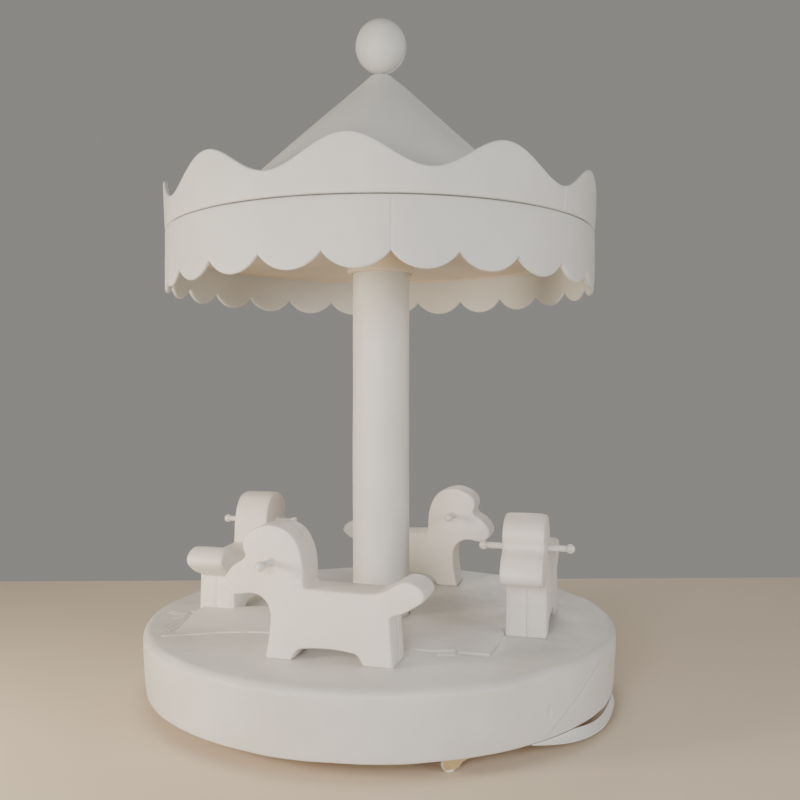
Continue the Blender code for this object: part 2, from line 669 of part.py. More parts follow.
build_stand()
build_ball_cage()
build_deck()
build_hem_flap()
build_castors()
build_mast()
build_canopy()
build_finial()
build_ponies()
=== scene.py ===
"""Looks of the soft play carousel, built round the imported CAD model.

Metres, +Z up.  Angles round the carousel are measured from -Y and grow towards +X.
"""
import json
from math import cos, pi, radians, sin

import bmesh
import bpy
import numpy as np
from mathutils import Matrix, Vector
from mathutils.geometry import delaunay_2d_cdt, interpolate_bezier
from mathutils.kdtree import KDTree


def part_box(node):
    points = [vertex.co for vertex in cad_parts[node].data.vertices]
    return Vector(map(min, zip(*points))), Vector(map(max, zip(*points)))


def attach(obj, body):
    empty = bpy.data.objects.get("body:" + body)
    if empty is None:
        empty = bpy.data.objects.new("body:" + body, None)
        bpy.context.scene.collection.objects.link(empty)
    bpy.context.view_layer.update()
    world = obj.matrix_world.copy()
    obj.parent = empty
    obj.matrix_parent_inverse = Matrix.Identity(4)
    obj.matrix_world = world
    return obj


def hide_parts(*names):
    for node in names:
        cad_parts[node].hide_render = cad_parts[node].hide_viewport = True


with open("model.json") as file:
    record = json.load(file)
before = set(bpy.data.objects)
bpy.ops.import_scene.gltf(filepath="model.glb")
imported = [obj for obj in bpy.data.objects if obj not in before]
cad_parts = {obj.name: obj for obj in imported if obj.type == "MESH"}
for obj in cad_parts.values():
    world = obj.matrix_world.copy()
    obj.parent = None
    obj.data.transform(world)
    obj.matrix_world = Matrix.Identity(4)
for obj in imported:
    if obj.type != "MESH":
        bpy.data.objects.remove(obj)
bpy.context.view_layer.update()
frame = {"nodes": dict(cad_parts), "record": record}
NODES = frame["nodes"]


# ---------------------------------------------------------------- sizes, from the CAD nodes
def top_of(node):
    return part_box(node)[1].z


def foot_of(node):
    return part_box(node)[0].z


def radius_of(node):
    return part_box(node)[1].x


DECK_RADIUS = radius_of("deck_cover")
DECK_TOP = top_of("deck_cover")
HEM = foot_of("deck_cover")
HEM_RADIUS = DECK_RADIUS - 0.009
COLUMN_RADIUS = radius_of("column_cover")
COLLAR_RADIUS = radius_of("ceiling_collar")
COLLAR_LOW = foot_of("ceiling_collar")
CEILING = foot_of("ceiling_panel")
SEAM = top_of("valance_band")
BAND_OUTSIDE = 0.681
BAND_THICK = 0.0125
BAND_RADIUS = BAND_OUTSIDE - BAND_THICK / 2
TIP = foot_of("valance_band")
CUSP = TIP + 0.045
PEAK = 1.603
VALLEY = 1.519
ROOF_TOP = top_of("roof_cover")
ROOF_RADIUS = 0.620
ROOF_LOW = 1.4278
BALL_LOW = foot_of("finial_ball")
BALL_TOP = top_of("finial_ball")
BALL_RADIUS = 0.083

PONY_PHASE = radians(-16.5)
PONY_RADIUS = 0.494
PONY_THICK = 0.124
PONY_ROUNDING = 0.0072
PONY_EDGE = PONY_THICK / 2 - PONY_ROUNDING - 0.0004     # half the width of the boxing strip
PONY_FEET = ((0.091, 0.165), (-0.196, -0.1145))         # from and to, forward of the pony's middle
HANDLE = (0.148, 0.264)
SCALLOPS = 24
SCALLOP_PHASE = radians(2.1)
WAVES = 10
WAVE_PHASE = radians(-7.4)
CASTOR_PHASE = radians(16.5)
CASTOR_PATH = 0.700
CASTOR_TRAIL = 0.030
WHEEL_RADIUS = 0.020


# ---------------------------------------------------------------- materials
def nodes_of(name):
    made = bpy.data.materials.new(name)
    made.use_nodes = True
    tree = made.node_tree
    shader = tree.nodes["Principled BSDF"]
    return made, tree, shader


def texture(tree, kind, scale, **settings):
    """A texture node that reads the object's own coordinates."""
    where = tree.nodes.get("where") or tree.nodes.new("ShaderNodeTexCoord")
    where.name = "where"
    node = tree.nodes.new(kind)
    node.inputs["Scale"].default_value = scale
    for key, value in settings.items():
        if key in node.inputs:
            node.inputs[key].default_value = value
        else:
            setattr(node, key, value)
    tree.links.new(where.outputs["Object"], node.inputs["Vector"])
    return node


def ramp(tree, source, stops):
    node = tree.nodes.new("ShaderNodeValToRGB")
    while len(node.color_ramp.elements) < len(stops):
        node.color_ramp.elements.new(0.5)
    for element, (place, colour) in zip(node.color_ramp.elements, stops):
        element.position = place
        element.color = (*colour, 1.0) if len(colour) == 3 else colour
    tree.links.new(source, node.inputs["Fac"])
    return node.outputs["Color"]


def bumped(tree, shader, layers):
    """Stack bumps, each (height socket, strength, distance in metres), onto the shader."""
    last = None
    for height, strength, distance in layers:
        bump = tree.nodes.new("ShaderNodeBump")
        bump.inputs["Strength"].default_value = strength
        bump.inputs["Distance"].default_value = distance
        tree.links.new(height, bump.inputs["Height"])
        if last:
            tree.links.new(last, bump.inputs["Normal"])
        last = bump.outputs["Normal"]
    tree.links.new(last, shader.inputs["Normal"])


def vinyl(name, pale, deep, rough=(0.42, 0.56), grain=0.35, crease=0.35):
    """Coated fabric: a fine pebbled grain, soft creases, and slight changes of tone and gloss."""
    made, tree, shader = nodes_of(name)
    tone = texture(tree, "ShaderNodeTexNoise", 5.0, Detail=4.0, Roughness=0.55)
    tree.links.new(ramp(tree, tone.outputs["Fac"], [(0.35, deep), (0.68, pale)]), shader.inputs["Base Color"])
    wear = texture(tree, "ShaderNodeTexNoise", 22.0, Detail=3.0)
    gloss = ramp(tree, wear.outputs["Fac"], [(0.3, (rough[0],) * 3), (0.7, (rough[1],) * 3)])
    tree.links.new(gloss, shader.inputs["Roughness"])
    pebbles = texture(tree, "ShaderNodeTexVoronoi", 620.0, feature="SMOOTH_F1")
    folds = texture(tree, "ShaderNodeTexNoise", 16.0, Detail=5.0, Roughness=0.62, Distortion=0.6)
    fine = texture(tree, "ShaderNodeTexNoise", 70.0, Detail=3.0)
    bumped(tree, shader, [(folds.outputs["Fac"], crease, 0.004), (fine.outputs["Fac"], 0.12, 0.0012),
                          (pebbles.outputs["Distance"], grain, 0.0004)])
    shader.inputs["Specular IOR Level"].default_value = 0.42
    shader.inputs["Sheen Weight"].default_value = 0.06
    return made


def wood(name, pale, dark):
    """Plywood: long wavy grain in darker and paler bands, with fine fibre bumps."""
    made, tree, shader = nodes_of(name)
    grain = texture(tree, "ShaderNodeTexWave", 9.0, Distortion=5.0, Detail=4.0, bands_direction="Y")
    fibre = texture(tree, "ShaderNodeTexNoise", 90.0, Detail=4.0)
    tree.links.new(ramp(tree, grain.outputs["Fac"], [(0.0, dark), (1.0, pale)]), shader.inputs["Base Color"])
    bumped(tree, shader, [(grain.outputs["Fac"], 0.10, 0.001), (fibre.outputs["Fac"], 0.2, 0.0006)])
    shader.inputs["Roughness"].default_value = 0.68
    return made


def metal(name, pale, dark, roughness, metallic=1.0, scratch=0.15):
    made, tree, shader = nodes_of(name)
    tone = texture(tree, "ShaderNodeTexNoise", 60.0, Detail=4.0)
    tree.links.new(ramp(tree, tone.outputs["Fac"], [(0.3, dark), (0.7, pale)]), shader.inputs["Base Color"])
    fine = texture(tree, "ShaderNodeTexNoise", 420.0, Detail=2.0)
    bumped(tree, shader, [(fine.outputs["Fac"], scratch, 0.0003)])
    shader.inputs["Metallic"].default_value = metallic
    shader.inputs["Roughness"].default_value = roughness
    return made


def moulded(name, pale, deep, roughness, grain=0.08):
    """Moulded plastic or rubber with a faint texture."""
    made, tree, shader = nodes_of(name)
    tone = texture(tree, "ShaderNodeTexNoise", 30.0, Detail=2.0)
    tree.links.new(ramp(tree, tone.outputs["Fac"], [(0.3, deep), (0.7, pale)]), shader.inputs["Base Color"])
    fine = texture(tree, "ShaderNodeTexNoise", 300.0, Detail=2.0)
    bumped(tree, shader, [(fine.outputs["Fac"], grain, 0.0004)])
    shader.inputs["Roughness"].default_value = roughness
    return made


VINYL = vinyl("vinyl_white", (0.79, 0.78, 0.755), (0.735, 0.72, 0.69))
VINYL_PONY = vinyl("vinyl_pony", (0.86, 0.815, 0.765), (0.81, 0.765, 0.71), crease=0.22)
VINYL_BAND = vinyl("vinyl_canopy", (0.725, 0.715, 0.70), (0.685, 0.675, 0.655), crease=0.14)
VINYL_DECK = vinyl("vinyl_deck", (0.74, 0.73, 0.71), (0.67, 0.655, 0.625), crease=0.42)
# The white vinyl again, made tan for the ceiling and collar under the canopy: painted warm shade, standing in for the
# floor's bounce light.
VINYL_WARM_SHADE = vinyl("vinyl_painted_warm_shade", (0.82, 0.72, 0.57), (0.76, 0.66, 0.51), crease=0.2)
FOAM = moulded("foam_open_cell", (0.80, 0.77, 0.62), (0.72, 0.69, 0.54), 0.95, grain=0.8)
PLYWOOD = wood("plywood_grain", (0.68, 0.53, 0.36), (0.50, 0.36, 0.22))
STEEL = metal("steel_painted", (0.24, 0.25, 0.26), (0.19, 0.20, 0.21), 0.42, metallic=0.0)
BRIGHT = metal("steel_bright", (0.66, 0.66, 0.66), (0.54, 0.54, 0.54), 0.28)
ZINC = metal("zinc_yellow", (0.86, 0.74, 0.50), (0.78, 0.60, 0.36), 0.36)
NYLON = moulded("nylon_cream", (0.86, 0.84, 0.77), (0.80, 0.77, 0.69), 0.42)
PLASTIC = moulded("plastic_white", (0.77, 0.745, 0.70), (0.73, 0.70, 0.65), 0.26)
RUBBER = moulded("rubber_black", (0.035, 0.034, 0.033), (0.022, 0.022, 0.022), 0.85, grain=0.4)

LOOK_OF_SLOT = {"white_vinyl": VINYL, "foam": FOAM, "plywood": PLYWOOD, "painted_steel": STEEL,
                "bearing_steel": BRIGHT, "yellow_zinc": ZINC, "cream_nylon": NYLON,
                "white_plastic": PLASTIC, "black_rubber": RUBBER}
for part in frame["record"]["subparts"]:
    slots = NODES[part["node"]].data.materials
    slots.clear()
    slots.append(LOOK_OF_SLOT[part["material_slot"]])


# ---------------------------------------------------------------- shapes
def unevenness(points, size, seed):
    """Smooth unevenness of about -1 to 1, with bumps about size across, at points (n, 3)."""
    rng = np.random.default_rng(seed)
    total = np.zeros(len(points))
    for _ in range(10):
        direction = rng.normal(size=3)
        direction /= np.linalg.norm(direction)
        total += np.sin(points @ direction * (2 * pi / (size * rng.uniform(0.9, 2.4))) + rng.uniform(0, 2 * pi))
    return total / 3.6


def smoothstep(low, high, x):
    t = np.clip((x - low) / (high - low), 0.0, 1.0)
    return t * t * (3 - 2 * t)


def distance_to_path(points, path):
    """Least distance in the plane from points (n, 2) to a polyline (m, 2)."""
    best = np.full(len(points), 1e9)
    for a, b in zip(path[:-1], path[1:]):
        d = b - a
        t = np.clip(((points - a) @ d) / (d @ d), 0, 1)
        best = np.minimum(best, np.linalg.norm(points - a - t[:, None] * d, axis=1))
    return best


def curve_through(points, pieces=12):
    """A smooth polyline through points (n, 2), as an array."""
    spots = [Vector((*p, 0.0)) for p in points]
    path = []
    for i in range(len(spots) - 1):
        a, b = spots[i], spots[i + 1]
        ta = (b - spots[max(0, i - 1)]).normalized() * (b - a).length / 3
        tb = (spots[min(len(spots) - 1, i + 2)] - a).normalized() * (b - a).length / 3
        path += list(interpolate_bezier(a, a + ta, b - tb, b, pieces + 1))[:-1]
    path.append(spots[-1])
    return np.array([(p.x, p.y) for p in path])


def finish_mesh(name, mesh, look, merge=0.000002):
    """Weld, face outwards, shade smooth, and put the mesh in the scene."""
    bm = bmesh.new()
    bm.from_mesh(mesh)
    bmesh.ops.remove_doubles(bm, verts=bm.verts, dist=merge)
    if bm.calc_volume(signed=True) < 0:
        bmesh.ops.reverse_faces(bm, faces=bm.faces)
    bm.to_mesh(mesh)
    bm.free()
    mesh.shade_smooth()
    mesh.materials.append(look)
    thing = bpy.data.objects.new(name, mesh)
    bpy.context.scene.collection.objects.link(thing)
    return thing


def inside_path(points, path):
    """Whether each of points (n, 2) lies inside a closed polyline (m, 2)."""
    inside = np.zeros(len(points), bool)
    for a, b in zip(path[:-1], path[1:]):
        crosses = (a[1] > points[:, 1]) != (b[1] > points[:, 1])
        if a[1] != b[1]:
            inside ^= crosses & (points[:, 0] < (b[0] - a[0]) * (points[:, 1] - a[1]) / (b[1] - a[1]) + a[0])
    return inside


def grid_faces(nu, nv, wrap_u, wrap_v):
    index = np.arange(nu * nv).reshape(nu, nv)
    rows = index if wrap_u else index[:-1]
    ahead = np.roll(index, -1, 0) if wrap_u else index[1:]
    if wrap_v:
        quads = np.stack([rows, ahead, np.roll(ahead, -1, 1), np.roll(rows, -1, 1)], -1)
    else:
        quads = np.stack([rows[:, :-1], ahead[:, :-1], ahead[:, 1:], rows[:, 1:]], -1)
    return quads.reshape(-1, 4).tolist()


def grid_mesh(points, wrap_u=True, wrap_v=True):
    mesh = bpy.data.meshes.new("grid")
    nu, nv = points.shape[:2]
    mesh.from_pydata(points.reshape(-1, 3).tolist(), [], grid_faces(nu, nv, wrap_u, wrap_v))
    return mesh


def resampled(profile, step):
    """The profile's points, with more between them wherever they are further apart than step."""
    out = []
    for a, b in zip(profile[:-1], profile[1:]):
        a, b = np.array(a, float), np.array(b, float)
        count = max(1, int(np.ceil(np.linalg.norm(b - a) / step)))
        out += [a + (b - a) * i / count for i in range(count)]
    out.append(np.array(profile[-1], float))
    return out


def arc(centre, radius, start, end, pieces):
    return [(centre[0] + radius * cos(start + (end - start) * i / pieces),
             centre[1] + radius * sin(start + (end - start) * i / pieces)) for i in range(pieces + 1)]


def outward(profile, closed=True):
    """Unit normals of an (r, z) profile that runs clockwise: up the inside, outwards, down the outside."""
    p = np.array(profile)
    if closed:
        tangent = np.roll(p, -1, 0) - np.roll(p, 1, 0)
    else:
        tangent = np.gradient(p, axis=0)
    tangent /= np.maximum(np.linalg.norm(tangent, axis=1), 1e-9)[:, None]
    return np.stack([-tangent[:, 1], tangent[:, 0]], 1)


def angles_with(count, phase=0.0, seams=()):
    """Evenly spaced angles, with close ones added at each seam (angle, half width in radians)."""
    angles = [phase + 2 * pi * i / count for i in range(count)]
    for seam, half in seams:
        angles = [a for a in angles if abs((a - seam + pi) % (2 * pi) - pi) > half * 1.25]
        angles += [seam + half * s for s in (-1.0, -0.6, -0.3, 0.0, 0.3, 0.6, 1.0)]
    return np.array(sorted(a % (2 * pi) for a in angles))


def seam_dip(angles, seam, half, depth):
    """A narrow groove at an angle."""
    away = np.abs((angles - seam + pi) % (2 * pi) - pi)
    return -depth * np.clip(1 - away / half, 0, 1) ** 1.5


def turned(profile, angles, relief=None, closed=True):
    """Points of a turned surface; relief(angles, points) says how far each moves along the profile's normals."""
    p = np.array(profile)
    n = outward(profile, closed)
    if closed and np.sum(p[:, 0] * np.roll(p[:, 1], -1) - np.roll(p[:, 0], -1) * p[:, 1]) > 0:
        n = -n
    a = angles[:, None]
    spots = np.stack([p[None, :, 0] * np.sin(a), -p[None, :, 0] * np.cos(a),
                      np.broadcast_to(p[None, :, 1], (len(angles), len(p)))], -1)
    normals = np.stack([n[None, :, 0] * np.sin(a), -n[None, :, 0] * np.cos(a),
                        np.broadcast_to(n[None, :, 1], (len(angles), len(p)))], -1)
    if relief is not None:
        move = relief(np.broadcast_to(a, spots.shape[:2]).reshape(-1), spots.reshape(-1, 3))
        spots = spots + normals * move.reshape(*spots.shape[:2], 1)
    return spots


def frame_at(angle, radius, height=0.0):
    """The frame at an angle round the carousel: +Y outwards, +X towards falling angle."""
    return Matrix.Rotation(angle + pi, 4, "Z") @ Matrix.Translation((0.0, radius, height))


def pony_place(number):
    return frame_at(PONY_PHASE + number * pi / 2, PONY_RADIUS, DECK_TOP + 0.0003)


def soft(piece, *nodes, fill):
    """Attach a piece to the carousel's body, and hide the CAD nodes that it stands in for, if it has any."""
    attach(piece, "carousel")
    if nodes:
        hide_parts(*nodes)


# ---------------------------------------------------------------- padded deck
CREASES = [curve_through(path) for path in (
    [(-0.630, -0.014), (-0.660, -0.008), (-0.702, 0.030)],
    [(-0.617, -0.026), (-0.644, -0.050), (-0.676, -0.075)],
    [(-0.618, -0.040), (-0.640, -0.100), (-0.669, -0.186)],
    [(-0.610, -0.060), (-0.630, -0.130), (-0.657, -0.212)],
    [(-0.604, -0.090), (-0.619, -0.165), (-0.655, -0.250)],
    [(-0.600, -0.130), (-0.612, -0.195), (-0.640, -0.262)])]
TUCKS = np.array(((-0.622, 0.019), (0.376, -0.222)))


def foot_distance(flat):
    """Distance in the plane to the nearest pony foot, at points (n, 2)."""
    best = np.full(len(flat), 1e9)
    points = np.column_stack([flat, np.zeros(len(flat))])
    for number in range(4):
        back = np.array(frame_at(PONY_PHASE + number * pi / 2, PONY_RADIUS).inverted())
        local = points @ back[:3, :3].T + back[:3, 3]
        for low, high in PONY_FEET:
            dx = np.maximum(np.maximum(low - local[:, 0], local[:, 0] - high), 0)
            dy = np.maximum(np.abs(local[:, 1]) - PONY_THICK / 2, 0)
            best = np.minimum(best, np.hypot(dx, dy))
    return best


def deck_relief(_, p):
    flat = p[:, :2]
    radius = np.linalg.norm(flat, axis=1)
    upper = smoothstep(DECK_TOP - 0.012, DECK_TOP - 0.001, p[:, 2])
    outer = np.where((p[:, 2] < DECK_TOP - 0.012) & (radius > HEM_RADIUS - 0.0035), 1.0, 0.0)
    skin = np.maximum(upper, outer)
    away = foot_distance(flat)
    free = smoothstep(0.0, 0.06, away) * smoothstep(0.1, 0.16, radius)
    move = upper * free * 0.0016 * unevenness(p, 0.20, 3)
    move += upper * free * 0.0006 * unevenness(p, 0.06, 4)
    # the cover is drawn down round the ponies' feet and the column
    move -= upper * 0.0022 * np.exp(-(away / 0.010) ** 2) * (away > 0)
    move -= upper * 0.0012 * np.exp(-((radius - 0.096) / 0.012) ** 2)
    # creases run out to the rim from a small hole where the cover is tucked in, and there is another hole at the right
    for number, path in enumerate(CREASES):
        gap = distance_to_path(flat, path)
        ends = smoothstep(0.0, 0.035, np.linalg.norm(flat - path[-1], axis=1))
        ends *= smoothstep(-0.01, 0.02, np.linalg.norm(flat - path[0], axis=1))
        deep = 0.0058 - 0.0003 * number
        fold = np.exp(-(gap / 0.0030) ** 2) - 0.70 * np.exp(-((gap - 0.0068) / 0.0038) ** 2)
        move -= upper * ends * deep * fold
    for tuck in TUCKS:
        move -= upper * 0.0125 * np.exp(-(np.linalg.norm(flat - tuck, axis=1) / 0.0052) ** 2)
    # slack in the side
    move += outer * 0.0011 * unevenness(p * np.array((1, 1, 0.5)), 0.22, 7)
    move += outer * 0.0005 * unevenness(p, 0.07, 8)
    # one long crease up the side, and a dent beside it
    around = np.degrees(np.arctan2(p[:, 0], -p[:, 1]))
    start = 0.058
    height = (p[:, 2] - start) / (DECK_TOP - 0.030 - start)
    span = smoothstep(-0.05, 0.05, height) * smoothstep(1.12, 0.95, height)
    height = np.clip(height, 0.0, 1.2)
    line = (around - (35.4 + 18.5 * height ** 1.15)) * radians(1) * DECK_RADIUS
    move += outer * span * (0.0026 * np.exp(-(line / 0.0075) ** 2) - 0.0016 * np.exp(-((line - 0.017) / 0.011) ** 2))
    mark = np.hypot((around - 36.2) * radians(1) * DECK_RADIUS / 0.0055, (p[:, 2] - 0.116) / 0.012)
    move -= outer * 0.0050 * np.exp(-mark ** 2)
    return move * skin


def make_deck():
    hole = COLUMN_RADIUS + 0.0014
    edge = 0.025                     # rounding of the rim
    flat_end = DECK_RADIUS - edge
    fine_from = 0.585                # closer rings from here out, for the creases
    creased = ((240, 285), (31, 56))     # degrees: closer angles here, for the same
    under = DECK_TOP - 0.0055        # the hidden inside of the skin
    outer = resampled([(hole, DECK_TOP - 0.004), (hole, DECK_TOP - 0.0015)], 0.002)
    outer += resampled([(hole + 0.0015, DECK_TOP), (fine_from, DECK_TOP)], 0.0075)
    outer += resampled([(fine_from, DECK_TOP), (flat_end, DECK_TOP)], 0.0026)[1:]
    outer += arc((flat_end, DECK_TOP - edge), edge, pi / 2, 0.0, 12)[1:]
    low = HEM + 0.003
    outer += [(HEM_RADIUS + (DECK_RADIUS - HEM_RADIUS) * (1 - (1 - t) ** 1.7) ** 0.9, low + (DECK_TOP - edge - low) * t)
              for t in (1 - i / 26 for i in range(1, 27))]
    outer += [(HEM_RADIUS - 0.0006, HEM + 0.0012), (HEM_RADIUS - 0.0020, HEM), (HEM_RADIUS - 0.0034, HEM + 0.0012)]
    inner = [(HEM_RADIUS - 0.0042, HEM + 0.012), (DECK_RADIUS - 0.006, DECK_TOP - edge),
             (DECK_RADIUS - 0.014, DECK_TOP - 0.014), (flat_end, under), (0.40, under), (hole + 0.004, under)]
    angles = angles_with(360)
    crowd = angles[np.any([(angles > radians(first)) & (angles < radians(last)) for first, last in creased], axis=0)]
    angles = np.array(sorted([*angles, *(crowd + radians(1 / 3)), *(crowd + radians(2 / 3))]))
    deck = finish_mesh("deck_skin", grid_mesh(turned(outer + inner, angles, deck_relief)), VINYL_DECK)
    soft(deck, "deck_cover", "deck_foam", fill=0.85)


def overlay(name, corners, thickness, look, rise, fill):
    """A padded layer on the deck with a rounded edge; rise(points) is its height over the deck before thickness."""
    path = np.array(corners)
    closed = np.vstack([path, path[:1]])
    low, high = path.min(0), path.max(0)
    rim = np.array(resampled([tuple(c) for c in closed], 0.006)[:-1])
    count = len(rim)
    tangent = np.roll(rim, -1, 0) - np.roll(rim, 1, 0)
    normal = np.stack([tangent[:, 1], -tangent[:, 0]], 1) / np.linalg.norm(tangent, axis=1)[:, None]
    rings = []
    for depth in (0.0007, 0.0018, 0.0040):
        ring = rim - normal * depth
        rings.append(ring[distance_to_path(ring, closed) > depth * 0.9])
    xs, ys = np.meshgrid(np.arange(low[0], high[0], 0.0065), np.arange(low[1], high[1], 0.0065))
    spots = np.column_stack([xs.ravel(), ys.ravel()])
    spots = spots[inside_path(spots, closed) & (distance_to_path(spots, closed) > 0.0065)]
    verts, _, faces, _, _, _ = delaunay_2d_cdt([Vector(p) for p in np.vstack([rim, *rings, spots])],
                                               [(i, (i + 1) % count) for i in range(count)], [], 1, 1e-6)
    flat = np.array([(v.x, v.y) for v in verts])
    gap = distance_to_path(flat, closed)
    bead = thickness * np.sqrt(np.clip(1 - (1 - np.clip(gap / 0.0030, 0, 1)) ** 2, 0, 1))
    upper = np.column_stack([flat, DECK_TOP + rise(flat) + bead])
    lower = np.column_stack([flat, np.full(len(flat), DECK_TOP - 0.0062)])
    n = len(flat)
    uses = {}
    for f in faces:
        for i in range(3):
            a, b = f[i], f[(i + 1) % 3]
            uses.setdefault((min(a, b), max(a, b)), []).append((a, b))
    sides = [(a, a + n, b + n, b) for (a, b), in (use for use in uses.values() if len(use) == 1)]
    mesh = bpy.data.meshes.new(name)
    mesh.from_pydata(np.vstack([upper, lower]).tolist(), [],
                     [tuple(f) for f in faces] + [tuple(i + n for i in f[::-1]) for f in faces] + sides)
    soft(finish_mesh(name, mesh, look, merge=0.0), fill=fill)


def make_overlays():
    """Loose, puffed layers of the cover that lie on the deck: right of the column, at the left, and at the back."""
    def level(points, size, seed):
        return unevenness(np.column_stack([points, np.zeros(len(points))]), size, seed)

    front = [(-0.020, -0.352), (0.030, -0.392), (0.057, -0.408), (0.100, -0.425), (0.146, -0.440), (0.209, -0.436),
             (0.212, -0.452), (0.255, -0.466), (0.297, -0.477), (0.334, -0.372), (0.371, -0.262)]
    back = [(0.360, -0.090), (0.310, 0.090), (0.215, 0.170), (0.110, 0.180), (0.116, 0.020), (0.085, -0.120),
            (0.000, -0.215)]

    def right_rise(flat):
        near = smoothstep(-0.06, -0.36, flat[:, 1]) * smoothstep(-0.02, 0.10, flat[:, 0])
        corner = 0.0022 * smoothstep(0.20, 0.27, flat[:, 0])
        return -0.0052 + near * (0.0068 + 0.0010 * level(flat, 0.12, 21)) + corner * near
    overlay("deck_overlay_right", front + back, 0.0036, VINYL_DECK, right_rise, fill=0.5)
    tab = [(0.149, -0.446), (0.149, -0.484), (0.204, -0.478), (0.208, -0.446)]
    overlay("deck_tab", tab, 0.0030, VINYL, lambda flat: np.full(len(flat), 0.0004), fill=0.3)

    near_edge = curve_through([(-0.652, -0.272), (-0.596, -0.264), (-0.536, -0.249), (-0.494, -0.236),
                               (-0.424, -0.232), (-0.330, -0.240), (-0.215, -0.262)], 8)
    far_edge = curve_through([(-0.170, -0.215), (-0.205, -0.105), (-0.330, 0.000), (-0.440, 0.000), (-0.530, 0.012),
                              (-0.592, 0.004), (-0.622, -0.030), (-0.632, -0.110), (-0.640, -0.200)], 8)

    def left_rise(flat):
        start = np.interp(flat[:, 0], near_edge[:, 0], near_edge[:, 1])
        share = np.clip((flat[:, 1] - start) / (-0.055 - start), 0, 1)
        fade = smoothstep(0.0, 0.040, distance_to_path(flat, far_edge))
        low_end = smoothstep(-0.645, -0.560, flat[:, 0])
        swell = 0.0280 * (0.15 * share + 0.85 * smoothstep(0, 1, share)) * fade * low_end
        sunk = -0.0060 * (1 - fade) * smoothstep(0.0, 0.02, distance_to_path(flat, near_edge))
        dimple = 0.0040 * np.exp(-((flat[:, 0] - -0.406) / 0.011) ** 2 - ((flat[:, 1] - -0.233) / 0.009) ** 2)
        return swell + sunk - 0.0004 + 0.0009 * level(flat, 0.10, 22) * fade - dimple
    overlay("deck_overlay_left", [*near_edge, *far_edge], 0.0040, VINYL_DECK, left_rise, fill=0.7)

    hem = curve_through([(0.385, 0.585), (0.335, 0.520), (0.303, 0.440), (0.290, 0.370), (0.300, 0.310),
                         (0.327, 0.262), (0.377, 0.229), (0.440, 0.240), (0.500, 0.270)], 8)
    rest = curve_through([(0.620, 0.330), (0.600, 0.395), (0.540, 0.470), (0.460, 0.545)], 6)

    def back_rise(flat):
        swell = smoothstep(0.0, 0.13, distance_to_path(flat, hem)) * smoothstep(0.0, 0.05, distance_to_path(flat, rest))
        return -0.0040 * smoothstep(0.06, 0.0, distance_to_path(flat, rest)) + 0.0150 * swell - 0.0004
    overlay("deck_overlay_back", [*hem, *rest], 0.0042, VINYL_DECK, back_rise, fill=0.7)


make_deck()
make_overlays()


# ---------------------------------------------------------------- loose edge of the cover
def make_flap():
    """A hemmed strip under the deck's hem: sewn to it at both ends, and drooping outwards and down between them."""
    first, last = radians(31.6), radians(69.8)
    root, reach = 0.7395, 0.0265     # radius at its upper edge, and how far its lower edge stands out
    nu, nv = 110, 22
    outside = np.zeros((nu, nv, 3))
    for i in range(nu):
        u = i / (nu - 1)
        droop = max(0.0, sin(pi * u))
        gape = max(0.0, sin(pi * min(1.0, max(0.0, (u - 0.33) / 0.66))))
        upper = 0.0450 - 0.0160 * gape ** 1.3
        lower = 0.0430 - 0.0250 * droop
        flare = reach * droop ** (1.0 if u < 0.5 else 0.6)
        for j in range(nv):
            v = j / (nv - 1)
            height = upper + (lower - upper) * v
            radius = root + flare * v ** 1.5 + 0.0008 * sin(19 * u + 3 * v) * v * droop
            angle = first + (last - first) * u
            outside[i, j] = (radius * sin(angle), -radius * cos(angle), height)
    du = np.gradient(outside, axis=0)
    dv = np.gradient(outside, axis=1)
    normal = np.cross(du, dv)
    normal /= np.maximum(np.linalg.norm(normal, axis=2), 1e-9)[..., None]
    v = np.linspace(0, 1, nv)[None, :, None]
    hem = np.exp(-((v - 0.94) / 0.055) ** 2) * 0.0016
    thick = 0.0009 + hem
    loop = np.concatenate([outside + normal * thick, (outside - normal * thick)[:, ::-1]], axis=1)
    mesh = grid_mesh(loop, wrap_u=False)
    ends = bmesh.new()
    ends.from_mesh(mesh)
    bmesh.ops.holes_fill(ends, edges=[e for e in ends.edges if e.is_boundary], sides=0)
    ends.to_mesh(mesh)
    ends.free()
    soft(finish_mesh("hem_loose_edge", mesh, VINYL), "hem_flap", fill=0.1)


make_flap()


